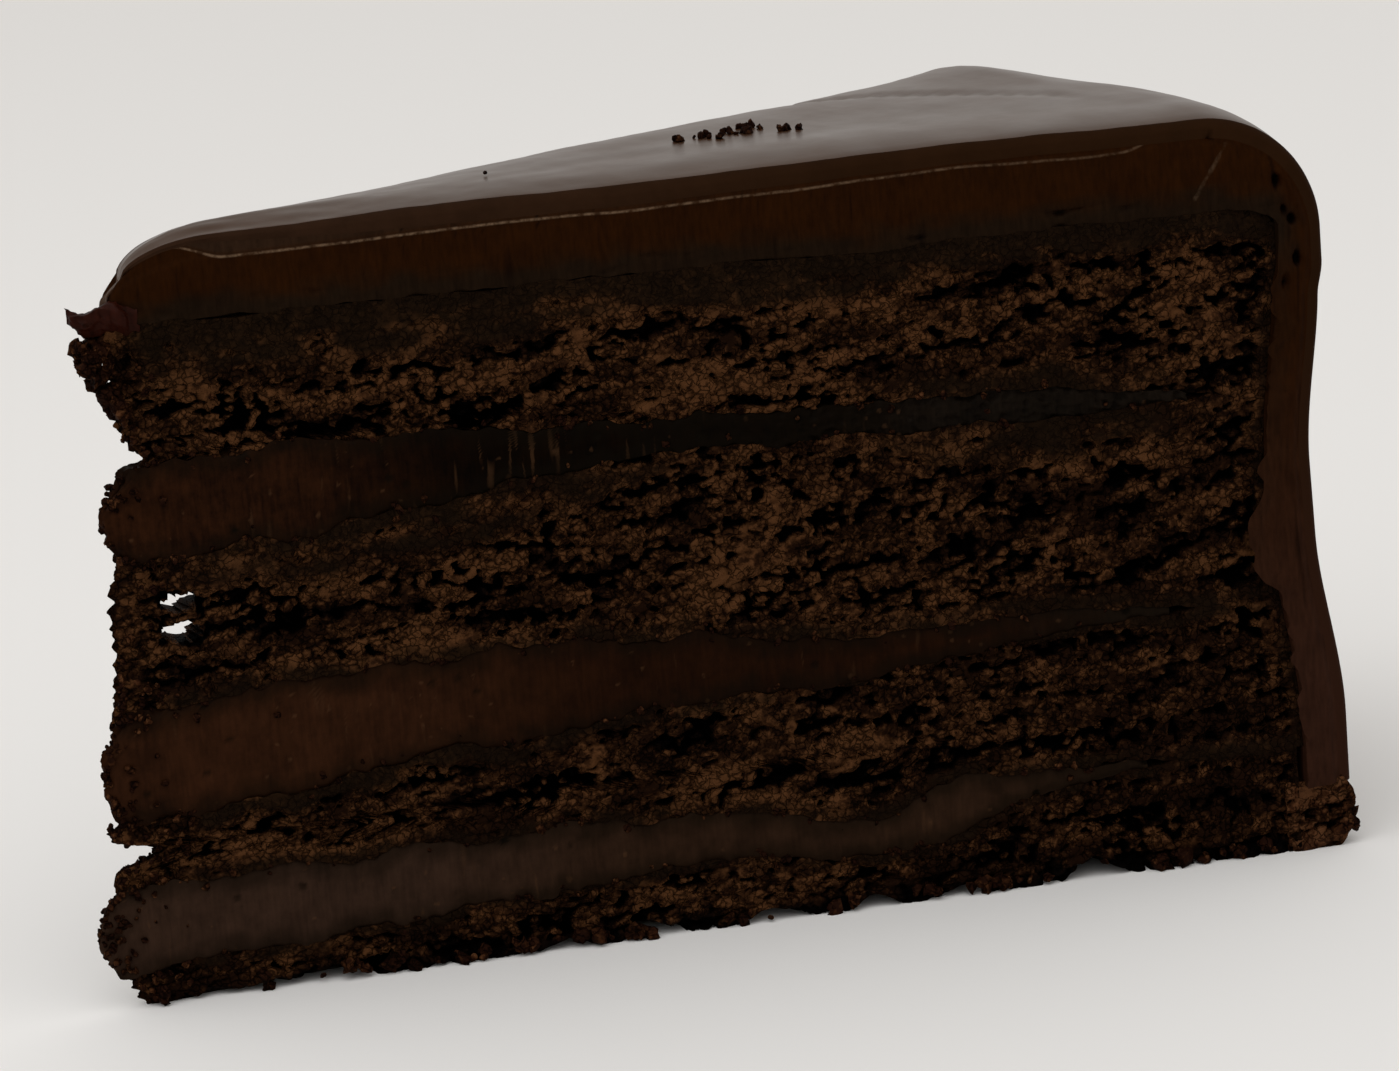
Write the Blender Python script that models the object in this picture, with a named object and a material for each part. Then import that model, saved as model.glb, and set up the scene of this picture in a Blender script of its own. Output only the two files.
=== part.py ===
"""Slice of a four-layer chocolate cake: sponge, three fillings and icing over the top and the rim.

Units are metres and +Z is up. The slice lies along X. Its tip, which was the middle of the whole
cake, points to -X, the iced rim faces +X, and the two cut faces look to -Y and +Y. It stands on
its flat underside at z = 0, with the origin in the middle of its footprint.

Every piece is a subdivided box that is bent into place by functions of three numbers from 0 to 1:
along the slice from tip to rim, across it from one cut face to the other, and up through the piece.
"""
import math

import bmesh
import bpy

# The whole cake and the slice that was cut from it
CAKE_RADIUS = 0.1180
HEIGHT = 0.0718
WEDGE_ANGLE = math.radians(26.8)
HALF_ANGLE = WEDGE_ANGLE / 2

# The icing: a thick top coat, a thinner side coat, and the round shoulder between them
TOP_COAT = 0.0092
SIDE_COAT = 0.0050
SHOULDER_RADIUS = 0.0112
LIP_RADIUS = 0.0022
WAIST_DEPTH = 0.0023
WAIST_TOP = 0.0560
WAIST_BOTTOM = 0.0220
WAIST_BLEND = 0.0090

# The foot: cake crumbs pressed round the bottom of the side coat
FOOT_HEIGHT = 0.0066
FOOT_DEPTH = 0.0056
FOOT_BULGE = 0.0005

# The tip leans towards the rim as it rises, and is a blunt torn nose instead of a knife edge
TIP_LEAN = math.tan(math.radians(4.2))
NOSE_LENGTH = 0.0040
NOSE_HALF_WIDTH = 0.0011
NOSE_END_SHARE = 0.40

# Free space between two pieces that touch
GAP = 0.0003

# Slow unevenness of the knife's two cuts and of the hand-spread layers
CUT_WAVE = 0.0003
LAYER_WAVE = 0.00025

# Each filling: middle height near the tip, half way and near the rim, thickness near the tip and
# near the rim, where it thins down (from, to), and how far along the slice it reaches
FILLINGS = {
    "filling_1": ((0.0452, 0.0474, 0.0452), (0.0084, 0.0030), (0.018, 0.056), 0.104),
    "filling_2": ((0.0220, 0.0256, 0.0254), (0.0102, 0.0028), (0.020, 0.090), 0.101),
    "filling_3": ((0.0072, 0.0088, 0.0106), (0.0076, 0.0022), (0.015, 0.092), 0.098),
}

# A filling tapers to a thin end before the rim, and the sponge closes up just past it
TAPER = 0.016
THIN_END = 0.0009
CLOSING = 0.003

# How far each piece's tip stands behind the leaning tip line, with fillings squeezed out in front
TIP_SETBACK = {
    "icing": 0.0002,
    "sponge_1": 0.0024,
    "filling_1": -0.0004,
    "sponge_2": 0.0007,
    "filling_2": -0.0010,
    "sponge_3": 0.0012,
    "filling_3": -0.0014,
    "sponge_4": 0.0016,
}
NOSE_CURVE = {"icing": 0.0012, "sponge": 0.0004, "filling": 0.0018}

# Cells of each box: along, across, up
SPONGE_CELLS = (20, 6, 2)
FILLING_CELLS = (18, 6, 3)
ICING_CELLS = (32, 10, 2)
FOOT_CELLS = (3, 6, 3)
TOP_SHARE = 0.56
SHOULDER_SHARE = 0.22

SPONGE_COLOUR = (0.026, 0.0125, 0.0068)
FILLING_COLOUR = (0.020, 0.0088, 0.0048)
ICING_COLOUR = (0.014, 0.0056, 0.0028)


def mix(start, end, share):
    return start + (end - start) * share


def smooth(start, end, value):
    """0 before start, 1 after end, and an even S-curve between them."""
    share = min(max((value - start) / (end - start), 0.0), 1.0)
    return share * share * (3 - 2 * share)


def along_three(values, along):
    """A parabola through three values: near the tip, half way and near the rim."""
    tip, middle, rim = values
    bow = middle - (tip + rim) / 2
    return mix(tip, rim, along) + 4 * bow * along * (1 - along)


def layer_wave(r, across, phase):
    return LAYER_WAVE * math.sin(r / 0.0075 + phase) * math.cos(across * 2.1 + phase)


def filling_sides(name, r, across):
    """Heights of a filling's underside and top at a distance from the cake's middle."""
    heights, (thick_tip, thick_rim), (thin_from, thin_to), reach = FILLINGS[name]
    middle = along_three(heights, min(max(r / reach, 0.0), 1.0))
    thickness = mix(thick_tip, thick_rim, smooth(thin_from, thin_to, r))
    thickness = mix(thickness, THIN_END, smooth(reach - TAPER, reach, r))
    thickness = mix(thickness, GAP, smooth(reach, reach + CLOSING, r))
    middle += layer_wave(r, across, len(name) + heights[0] * 400)
    return middle - thickness / 2, middle + thickness / 2


def outer_radius(z):
    """The side coat's outside: full at the shoulder, a waist below it, and a flared foot."""
    waist = smooth(WAIST_BOTTOM - WAIST_BLEND, WAIST_BOTTOM + WAIST_BLEND, z)
    waist *= 1 - smooth(WAIST_TOP - 2 * WAIST_BLEND, WAIST_TOP, z)
    return CAKE_RADIUS - WAIST_DEPTH * waist


def inner_radius(z):
    return outer_radius(z) - SIDE_COAT


def icing_underside(r):
    """Underside of the top coat, which turns down over the sponge's soft edge."""
    flat_end = CAKE_RADIUS - SHOULDER_RADIUS
    turn = min(max((r - flat_end) / (SHOULDER_RADIUS - SIDE_COAT), 0.0), 1.0)
    drop = (SHOULDER_RADIUS - TOP_COAT) * (1 - math.sqrt(1 - turn * turn))
    return HEIGHT - TOP_COAT - drop


def tip_radius(name, z, up):
    """Where a piece starts: the leaning tip line, its setback, and its rounded nose."""
    curve = NOSE_CURVE[name.split("_")[0]]
    rounded = curve * (2 * up - 1) ** 2
    return TIP_LEAN * z + TIP_SETBACK[name] + rounded


def half_width(r, start):
    """Half the slice's width: straight cuts, closing to a blunt nose over the first millimetres."""
    wedge = math.hypot(max(r, 0.0) * math.sin(HALF_ANGLE), NOSE_HALF_WIDTH)
    share = min(max((r - start) / NOSE_LENGTH, 0.0), 1.0)
    nose = math.sqrt(1 - (1 - share) ** 2)
    return wedge * mix(NOSE_END_SHARE, 1.0, nose)


def in_slice(r, across, z, start):
    """A point at distance r from the cake's middle, across from -1 to 1 between the cut faces."""
    side_wave = math.sin(r / 0.011 + z / 0.017 + across)
    wave = CUT_WAVE * side_wave * smooth(0.01, 0.03, r) * across
    x = r * math.cos(across * HALF_ANGLE)
    y = across * half_width(r, start) + wave
    return x, y, z


def box_cells(cells):
    """A box from 0 to 1 on each axis, cut into cells along X, Y and Z."""
    mesh = bmesh.new()
    bmesh.ops.create_cube(mesh, size=1.0)
    bmesh.ops.translate(mesh, verts=mesh.verts, vec=(0.5, 0.5, 0.5))
    for axis, count in enumerate(cells):
        lengthwise = [
            edge for edge in mesh.edges
            if abs(edge.verts[0].co[axis] - edge.verts[1].co[axis]) > 0.5
        ]
        bmesh.ops.subdivide_edges(mesh, edges=lengthwise, cuts=count - 1, use_grid_fill=True)
    return mesh


def material(name, colour, roughness):
    finish = bpy.data.materials.new(name)
    finish.use_nodes = True
    shader = finish.node_tree.nodes["Principled BSDF"]
    shader.inputs["Base Color"].default_value = (*colour, 1.0)
    shader.inputs["Roughness"].default_value = roughness
    shader.inputs["Metallic"].default_value = 0.0
    return finish


def make_piece(name, cells, place, colour, roughness, collection):
    """Bend a box of cells into a piece: place() takes along, across and up and gives a point."""
    cage = box_cells(cells)
    for vert in cage.verts:
        along, across, up = vert.co
        across = math.sin((across - 0.5) * math.pi)
        vert.co = place(along, across, up)
    bmesh.ops.recalc_face_normals(cage, faces=cage.faces)
    mesh = bpy.data.meshes.new(name)
    cage.to_mesh(mesh)
    cage.free()
    mesh.shade_smooth()
    mesh.set_sharp_from_angle(angle=math.radians(40))
    mesh.materials.append(material(name, colour, roughness))
    piece = bpy.data.objects.new(name, mesh)
    collection.objects.link(piece)
    return piece


def layer_place(name, sides, reach):
    """Placing function of a flat layer between two heights, from its nose out to its reach."""
    def place(along, across, up):
        r = along * CAKE_RADIUS
        for _ in range(3):
            low, high = sides(r, across)
            z = mix(low, high, up)
            start = tip_radius(name, z, up)
            r = mix(start, reach(z), along)
        return in_slice(r, across, z, start)
    return place


def sponge_sides(index):
    """Sides of one sponge layer: the pieces over and under it, less the gap."""
    def sides(r, across):
        if index == 1:
            high = icing_underside(r) - GAP
        else:
            high = filling_sides(f"filling_{index - 1}", r, across)[0] - GAP / 2
        if index == 4:
            low = 0.0
        else:
            low = filling_sides(f"filling_{index}", r, across)[1] + GAP / 2
        return low, high
    return sides


def filling_solid(name):
    def sides(r, across):
        low, high = filling_sides(name, r, across)
        return low + GAP / 2, high - GAP / 2
    return sides


def sponge_reach(index):
    """The sponge ends behind the side coat, and the bottom layer behind the crumb foot too."""
    def reach(z):
        end = inner_radius(z) - GAP
        if index == 4:
            end = min(end, CAKE_RADIUS - FOOT_DEPTH - GAP)
        return end
    return reach


def icing_lines(along):
    """Outer and inner line of the icing, as (radius, height), from the tip down to the foot."""
    centre_r = CAKE_RADIUS - SHOULDER_RADIUS
    centre_z = HEIGHT - SHOULDER_RADIUS
    if along <= TOP_SHARE:
        r = centre_r * along / TOP_SHARE
        return (r, HEIGHT), (r, HEIGHT - TOP_COAT)
    if along <= TOP_SHARE + SHOULDER_SHARE:
        turn = (along - TOP_SHARE) / SHOULDER_SHARE * math.pi / 2
        reach, rise = math.sin(turn), math.cos(turn)
        outer = (centre_r + SHOULDER_RADIUS * reach, centre_z + SHOULDER_RADIUS * rise)
        inner = (
            centre_r + (SHOULDER_RADIUS - SIDE_COAT) * reach,
            centre_z + (SHOULDER_RADIUS - TOP_COAT) * rise,
        )
        return outer, inner
    down = (along - TOP_SHARE - SHOULDER_SHARE) / (1 - TOP_SHARE - SHOULDER_SHARE)
    z = mix(centre_z, FOOT_HEIGHT + GAP, down)
    return (outer_radius(z), z), (inner_radius(z), z)


def icing_place(along, across, up):
    """The icing's box is bent over the shoulder, and its outer corners are rounded into a lip."""
    (outer_r, outer_z), (inner_r, inner_z) = icing_lines(along)
    mid_z = mix(inner_z, outer_z, up)
    start = tip_radius("icing", mid_z, up)
    near_tip = 1 - smooth(0.0, TOP_SHARE, along)
    outer_r += start * near_tip
    inner_r += start * near_tip
    half = half_width(outer_r, start)
    lip = min(LIP_RADIUS, 0.8 * half)
    edge = min(max((abs(across) * half - (half - lip)) / lip, 0.0), 1.0)
    drop = lip * (1 - math.sqrt(1 - edge * edge))
    thickness = math.hypot(outer_r - inner_r, outer_z - inner_z)
    up_in = up * (1 - drop / thickness)
    r = mix(inner_r, outer_r, up_in)
    z = mix(inner_z, outer_z, up_in)
    return in_slice(r, across, z, start)


def foot_place(along, across, up):
    """A band round the foot of the rim, bulging a little past the side coat."""
    z = FOOT_HEIGHT * up
    bulge = FOOT_BULGE * math.sin(math.pi * up)
    round_under = 0.0016 * (1 - up) ** 3
    outer = CAKE_RADIUS + bulge - round_under
    r = mix(CAKE_RADIUS - FOOT_DEPTH, outer, along)
    return in_slice(r, across, z, 0.0)


def centre_on_footprint(pieces):
    """Move all the pieces together, so that the origin is in the middle of the bounding box."""
    corners = [corner for piece in pieces for corner in (v.co for v in piece.data.vertices)]
    middle_x = (min(c.x for c in corners) + max(c.x for c in corners)) / 2
    middle_y = (min(c.y for c in corners) + max(c.y for c in corners)) / 2
    for piece in pieces:
        piece.location = (-middle_x, -middle_y, 0.0)


for old in list(bpy.data.objects):
    bpy.data.objects.remove(old, do_unlink=True)

slice_collection = bpy.data.collections.new("chocolate_cake_slice")
bpy.context.scene.collection.children.link(slice_collection)

pieces = [make_piece("icing", ICING_CELLS, icing_place, ICING_COLOUR, 0.35, slice_collection)]
for index in (1, 2, 3, 4):
    name = f"sponge_{index}"
    place = layer_place(name, sponge_sides(index), sponge_reach(index))
    pieces.append(make_piece(name, SPONGE_CELLS, place, SPONGE_COLOUR, 0.85, slice_collection))
for name, (_, _, _, end) in FILLINGS.items():
    place = layer_place(name, filling_solid(name), lambda z, end=end: end)
    pieces.append(make_piece(name, FILLING_CELLS, place, FILLING_COLOUR, 0.45, slice_collection))
pieces.append(make_piece("crumb_foot", FOOT_CELLS, foot_place, SPONGE_COLOUR, 0.85, slice_collection))
centre_on_footprint(pieces)
bpy.context.view_layer.update()
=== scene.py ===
import math
from functools import partial

import bmesh
import bpy
import numpy as np
from mathutils import Matrix, Vector


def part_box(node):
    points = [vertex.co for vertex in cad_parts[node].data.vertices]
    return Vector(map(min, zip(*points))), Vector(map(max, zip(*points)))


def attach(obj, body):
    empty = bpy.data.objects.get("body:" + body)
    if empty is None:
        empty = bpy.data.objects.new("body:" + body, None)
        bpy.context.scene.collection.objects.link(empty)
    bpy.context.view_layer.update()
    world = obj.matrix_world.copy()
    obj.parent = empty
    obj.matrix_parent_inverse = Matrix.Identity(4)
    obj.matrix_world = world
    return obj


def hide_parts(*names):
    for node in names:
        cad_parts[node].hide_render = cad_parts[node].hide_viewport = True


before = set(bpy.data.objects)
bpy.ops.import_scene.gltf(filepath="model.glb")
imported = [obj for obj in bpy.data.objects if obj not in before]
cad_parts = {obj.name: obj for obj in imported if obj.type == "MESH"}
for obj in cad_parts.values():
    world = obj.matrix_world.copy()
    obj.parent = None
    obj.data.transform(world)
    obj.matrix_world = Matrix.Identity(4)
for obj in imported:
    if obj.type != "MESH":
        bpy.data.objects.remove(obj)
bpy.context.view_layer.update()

# ---- The sponge layers ----
# A tall chocolate layer cake was cut through its middle twice with a long knife. Its four layers of
# oil-based sponge are level-trimmed and stacked. The knife dragged the moist crumb open, so each cut
# side is a plateau of knobbly crumb, split by dark, mostly level hollows, and smeared flat in places.
MM = 0.001
CAKE_RADIUS = 118.0 * MM
HEIGHT = 71.8 * MM
HALF_ANGLE = math.radians(13.4)
TIP_LEAN = math.tan(math.radians(4.2))
# The line x = AXIS_X was the whole cake's middle, and the crumb foot reaches 118.37 mm out from it
AXIS_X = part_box("crumb_foot")[1].x - 118.37 * MM
SIDE_COAT = 5.0 * MM
TOP_COAT = 9.2 * MM
SHOULDER = 11.2 * MM
# The bottom layer ends at the crumb foot
BOTTOM_LAYER_END = 112.6 * MM
DEEPEST_HOLLOW = 3.6 * MM
# A hollow is followed in from the knife's plane in steps, the first one longer
FIRST_STEP, NEXT_STEP = 0.55 * MM, 0.12 * MM


def ramp(start, end, value):
    """0 before start, 1 after end, and an even S-curve between them."""
    share = np.clip((value - start) / (end - start), 0.0, 1.0)
    return share * share * (3 - 2 * share)


def hump(centre, width, value):
    """A soft bump of height 1 round a centre."""
    return np.exp(-((value - centre) / width) ** 2)


def mix(start, end, share):
    return start + (end - start) * share


def at(x, y, z):
    """Points from their three coordinates, any of which may be one number for all."""
    return np.stack(np.broadcast_arrays(x, y, z), -1)


def mixed_cells(cell):
    """One well-mixed whole number for each cell of a grid, for each of a cell's eight corners."""
    # Large primes, shifts and odd factors of a common bit-mixing recipe
    primes = np.array([73856093, 19349663, 83492791], np.uint32)
    near, far = cell * primes, (cell + np.uint32(1)) * primes
    for corner in range(8):
        bits = (corner & 1, corner >> 1 & 1, corner >> 2 & 1)
        code = np.full(len(cell), 977, np.uint32)
        for axis, bit in enumerate(bits):
            code ^= (far if bit else near)[:, axis]
        code ^= code >> np.uint32(15)
        code *= np.uint32(2246822519)
        code ^= code >> np.uint32(13)
        code *= np.uint32(3266489917)
        code ^= code >> np.uint32(16)
        yield bits, code


def lumps(points, size, seed):
    """Smooth random swells and hollows between about -1 and 1, of the given size in mm on each axis."""
    scaled = (points / (np.asarray(size) * MM) + seed * 37.31 + 200).astype(np.float32)
    cell = np.floor(scaled)
    part = scaled - cell
    fade = part * part * part * (part * (part * 6 - 15) + 10)
    total = np.zeros(len(scaled), np.float32)
    for bits, code in mixed_cells(cell.astype(np.uint32)):
        weight = np.ones(len(scaled), np.float32)
        slope = np.zeros(len(scaled), np.float32)
        for axis, bit in enumerate(bits):
            weight *= fade[:, axis] if bit else 1 - fade[:, axis]
            pull = (code >> np.uint32(10 * axis) & np.uint32(1023)) / np.float32(511.5) - 1
            slope += (part[:, axis] - bit) * pull
        total += weight * slope
    return total * 1.35


def grains(points, size, seed):
    """Distance to the middle of the nearest grain of a size in mm, as a share of that size, and that
    grain's own tone, 0 to 1."""
    scaled = (points / (np.asarray(size) * MM) + seed * 13.17 + 150).astype(np.float32)
    cell = np.floor(scaled - 0.5)
    part = scaled - cell
    closest = np.full(len(scaled), 9.0, np.float32)
    owner = np.zeros(len(scaled), np.float32)
    for bits, code in mixed_cells(cell.astype(np.uint32)):
        gap = np.zeros(len(scaled), np.float32)
        for axis, bit in enumerate(bits):
            share = (code >> np.uint32(10 * axis) & np.uint32(1023)) / np.float32(1023)
            gap += (part[:, axis] - bit - 0.15 - 0.7 * share) ** 2
        nearer = gap < closest
        closest[nearer] = gap[nearer]
        owner[nearer] = (code[nearer] >> np.uint32(8) & np.uint32(255)) / np.float32(255)
    return np.sqrt(closest), owner


def box_skin(cells, strips):
    """The surface of a box of cells: each point's along and up from 0 to 1 and across from -1 to 1,
    the faces of its six sides, their maps, and the points' numbers by place. The sides, low and high
    of along, across and up, are mapped as strips over each other with the given heights."""
    shape = tuple(count + 1 for count in cells)
    outside = np.ones(shape, bool)
    outside[1:-1, 1:-1, 1:-1] = False
    number = np.cumsum(outside).reshape(shape) - 1
    places = np.argwhere(outside) / np.array(cells)
    faces, spots, level = [], [], 0.0
    for side, strip in enumerate(strips):
        axis, end = side // 2, -(side % 2)
        sheet = number.take(end, axis)
        quads = np.stack((sheet[:-1, :-1], sheet[1:, :-1], sheet[1:, 1:], sheet[:-1, 1:]), -1)
        quads = quads.reshape(-1, 4)
        if (end == -1) == (axis == 1):
            quads = quads[:, ::-1]
        flat = [other for other in range(3) if other != axis]
        spot = places[quads][:, :, flat]
        spot[:, :, 1] = level + (0.03 + 0.94 * spot[:, :, 1]) * strip
        faces.append(quads)
        spots.append(spot)
        level += strip
    return places.T * [[1], [2], [1]] - [[0], [1], [0]], faces, spots, number


def new_piece(name, points, faces, spots, tones):
    """A mesh object, smooth between its sharp edges, with its map and its material's tones."""
    faces, spots = np.concatenate(faces), np.concatenate(spots)
    mesh = bpy.data.meshes.new(name)
    mesh.vertices.add(len(points))
    mesh.vertices.foreach_set("co", points.astype(np.float32).ravel())
    mesh.loops.add(faces.size)
    mesh.loops.foreach_set("vertex_index", faces.astype(np.int32).ravel())
    mesh.polygons.add(len(faces))
    mesh.polygons.foreach_set("loop_start", np.arange(0, faces.size, faces.shape[1], dtype=np.int32))
    mesh.update(calc_edges=True)
    mesh.shade_smooth()
    mesh.set_sharp_from_angle(angle=math.radians(68))
    bake_map = mesh.uv_layers.new(name="OFBake")
    bake_map.uv.foreach_set("vector", spots.astype(np.float32).ravel())
    layer = mesh.color_attributes.new("tones", "FLOAT_COLOR", "POINT")
    filled = np.ones((len(points), 4), np.float32)
    filled[:, :3] = np.clip(np.stack(tones, -1), 0, 1)
    layer.data.foreach_set("color", filled.ravel())
    piece = bpy.data.objects.new(name, mesh)
    bpy.context.scene.collection.objects.link(piece)
    return piece


# Middle height near the tip, half way and near the rim, thickness near the tip and the rim, where
# it thins down, how far it reaches, and a sag: where its middle is, how wide and how deep it is
FILLINGS = {
    1: ((45.2, 47.4, 45.2), (8.4, 3.0), (18, 56), 104, (72, 10, 0.3)),
    2: ((22.0, 25.6, 25.4), (10.2, 2.8), (20, 90), 101, (72, 14, 1.8)),
    3: ((7.2, 8.8, 10.6), (7.6, 2.6), (15, 92), 98, (71, 9, 2.8)),
}
THIN_END = 0.9


def filling_sides(index, r, across):
    """Heights of a filling's underside and top at a distance from the cake's middle."""
    (tip, middle, rim), thick, (thin_from, thin_to), reach, (sag_at, sag_width, sag) = FILLINGS[index]
    distance = r / MM
    along = np.clip(distance / reach, 0.0, 1.0)
    centre = mix(tip, rim, along) + 4 * (middle - (tip + rim) / 2) * along * (1 - along)
    centre = centre - sag * hump(sag_at, sag_width, distance)
    thickness = mix(*thick, ramp(thin_from, thin_to, distance))
    if index == 3:
        thickness = thickness + 3.0 * hump(79, 4, distance)
    spot = at(r, across * 30 * MM, index * 50 * MM)
    centre = centre + 0.45 * lumps(spot, 9, index) + 0.40 * lumps(spot, 2.4, index + 20)
    centre = centre + 0.22 * lumps(spot, 1.1, index + 30)
    thickness = thickness * (1 + 0.25 * lumps(spot, 6, index + 40) + 0.12 * lumps(spot, 1.6, index + 60))
    thickness = mix(thickness, THIN_END, ramp(reach - 16, reach, distance))
    thickness = thickness * (1 - ramp(reach, reach + 3, distance))
    return (centre - thickness / 2) * MM, (centre + thickness / 2) * MM


def outer_radius(z):
    """The side coat's outside: a small step under the shoulder, a waist, and a flared foot."""
    waist = ramp(13 * MM, 31 * MM, z) * (1 - ramp(38 * MM, 56 * MM, z))
    step = ramp(57.4 * MM, 54.2 * MM, z) * ramp(20 * MM, 50 * MM, z)
    return CAKE_RADIUS - (1.9 * waist + 0.5 * step) * MM


def icing_underside(r, across):
    """Underside of the top coat, which turns down over the sponge's soft edge."""
    turn = np.clip((r - CAKE_RADIUS + SHOULDER) / (SHOULDER - SIDE_COAT), 0.0, 1.0)
    drop = (SHOULDER - TOP_COAT) * (1 - np.sqrt(1 - turn * turn))
    spot = at(r, across * 30 * MM, 0.3)
    rough = 0.5 * lumps(spot, 7, 60) + 0.25 * lumps(spot, 2, 61)
    return HEIGHT - TOP_COAT - drop - (0.7 * hump(85 * MM, 40 * MM, r) + rough - 0.5) * MM


def half_width(r, start):
    """Half the slice's width: straight cuts that close to a blunt nose at the tip."""
    wedge = np.hypot(np.maximum(r, 0) * math.sin(HALF_ANGLE), 1.1 * MM)
    share = np.clip((r - start) / (4.0 * MM), 0.0, 1.0)
    return wedge * mix(0.40, 1.0, np.sqrt(1 - (1 - share) ** 2))


def in_slice(r, across, y, z):
    """Points at a distance from the whole cake's middle, on arcs round it from cut side to cut side."""
    return at(r * np.cos(across * HALF_ANGLE) + AXIS_X, y, z)


def cut_sides(across):
    """Each cut side's points, and the direction from it into the slice."""
    for cut in (-1, 1):
        inward = np.array((math.sin(HALF_ANGLE), -cut * math.cos(HALF_ANGLE), 0.0))
        yield np.flatnonzero(across == cut), inward


def push_in(points, across, depth):
    """Move the points of the cut sides into the slice."""
    points[:, 0] += depth * math.sin(HALF_ANGLE)
    points[:, 1] -= depth * math.cos(HALF_ANGLE) * across


def roughen_tip(points, along):
    """Set the torn tip back by up to half a millimetre, in fine knobs."""
    tip = along == 0
    points[tip, 0] += 0.5 * MM * np.abs(lumps(points[tip], 0.8, 13))


def crumb_field(spot, smear):
    """Above 0 inside the crumb. Also the distance to the clod's middle, and the clod's tone."""
    level = spot.copy()
    level[:, 2] -= 0.10 * spot[:, 0]
    pull_x = 0.55 * lumps(spot, 1.9, 1) + 0.24 * lumps(spot, 0.7, 2)
    pull_z = 0.42 * lumps(spot, 1.6, 5) + 0.20 * lumps(spot, 0.65, 10)
    ragged = level + MM * at(pull_x, 0.5 * lumps(spot, 1.7, 3), pull_z)
    mass = 0.85 * lumps(level, (6.5, 4.5, 2.1), 7)
    mass += 0.55 * lumps(ragged, (2.6, 2.2, 1.1), 8)
    mass += 0.35 * lumps(spot, (0.85, 0.85, 0.65), 4)
    distance, owner = grains(ragged, (1.75, 1.5, 0.95), 9)
    return (0.57 + 0.58 * mass + 0.75 * smear - distance) * 0.85, distance, owner


def crumb_depth(face_points, inward, deepest, smear):
    """How far the knife's face stands back at each point, and the tone of the crumb seen there, lighter
    along the rims of the hollows as a painted highlight.
    """
    here, distance, owner = crumb_field(face_points, smear)
    edge = 0.55 * np.exp(-np.maximum(here, 0) / 0.20) + 0.42 * np.minimum(distance, 1) ** 2.2
    knobs = 0.22 * np.abs(lumps(face_points, 0.8, 12)) + 0.12 * np.abs(lumps(face_points, 0.4, 13))
    depth = mix(edge + 0.14 - knobs, 0.07 + 0.14 * edge - 0.45 * knobs, np.maximum(smear, 0)) * MM
    depth = np.minimum(depth, deepest)
    open_points = np.flatnonzero(here < 0)
    reach = np.full(len(open_points), FIRST_STEP)
    while len(open_points):
        inside = face_points[open_points] + inward * reach[:, None]
        solid, _, tone = crumb_field(inside, smear[open_points])
        met = (solid > 0.02) | (reach > deepest[open_points])
        depth[open_points[met]] = np.minimum(reach[met], deepest[open_points[met]])
        owner[open_points[met]] = tone[met]
        open_points, reach = open_points[~met], reach[~met] + NEXT_STEP
    # Painted highlight: crumb at the edges of the hollows is made lighter
    rim = hump(0.10, 0.10, here) * (0.5 + lumps(face_points, 1.4, 15))
    return depth, owner + 1.1 * rim


def smeared(index, r, z, low, high, spot):
    """Where the knife dragged icing or filling over the crumb, from 0 for clean crumb to 1."""
    distance, under, over = r / MM, (high - z) / MM, (z - low) / MM
    if index == 1:
        reach = 3.6 + 2.8 * (1 - ramp(40, 54, distance)) + 2.2 * hump(66, 9, distance)
        smear = ramp(1.0, 0.45, under / reach)
        smear = np.maximum(smear, 0.9 * hump(88, 12, distance) * ramp(3.4, 1.2, over))
    elif index == 2:
        smear = 1.1 * ramp(6.0, 2.0, under) * hump(32, 20, distance)
        smear = np.maximum(smear, ramp(5.5, 2.0, under) * hump(90, 13, distance))
        smear = np.maximum(smear, 0.9 * ramp(2.2, 0.5, over))
    elif index == 3:
        smear = ramp(3.0, 0.8, under) * hump(27, 14, distance) + 0.9 * ramp(1.8, 0.4, under)
        smear = np.maximum(smear, 0.8 * ramp(1.8, 0.4, over))
    else:
        smear = 0.7 * ramp(1.4, 0.3, under)
    smear = smear * (1 + 1.5 * lumps(spot, (4, 4, 1.5), 90) + 0.7 * lumps(spot, 1.1, 96))
    if index == 1:
        smear = np.maximum(smear, ramp(2.4, 1.2, under + 0.8 * lumps(spot, 2, 97)))
    else:
        smear -= 0.09
    if index == 1:
        smear -= 1.0 * hump(0.4, 0.7, over) * hump(54, 16, distance)
    if index == 3:
        smear -= 1.4 * hump(0.6, 0.7, under) * hump(74, 14, distance)
    to_coat = (outer_radius(z) - SIDE_COAT - r) / MM + 1.2 * lumps(spot, 2, 98)
    return np.maximum(np.clip(smear * ramp(5, 10, distance), -0.8, 1), 0.7 * ramp(1.3, 0.1, to_coat))


def punch_through(faces, spots, number, gone):
    """Take cells out of both cut sides and wall the hole between them, so light comes through."""
    keep = ~gone.reshape(-1)
    for side in (2, 3):
        faces[side], spots[side] = faces[side][keep], spots[side][keep]
    front, back = number[:, 0, :], number[:, -1, :]
    walls = []
    padded = np.pad(gone, 1)
    for i, k in np.argwhere(gone):
        for low_side, (di, dk) in ((True, (-1, 0)), (False, (1, 0)), (True, (0, -1)), (False, (0, 1))):
            if padded[i + 1 + di, k + 1 + dk]:
                continue
            a, b = i + (di == 1), k + (dk == 1)
            if di:
                wall = [front[a, b], back[a, b], back[a, b + 1], front[a, b + 1]]
            else:
                wall = [front[a, b], front[a + 1, b], back[a + 1, b], back[a, b]]
            walls.append(wall if low_side else wall[::-1])
    faces.append(np.array(walls))
    corner = np.array([(0.2, 0.98), (0.21, 0.98), (0.21, 0.99), (0.2, 0.99)])
    spots.append(np.tile(corner, (len(walls), 1, 1)))


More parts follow.
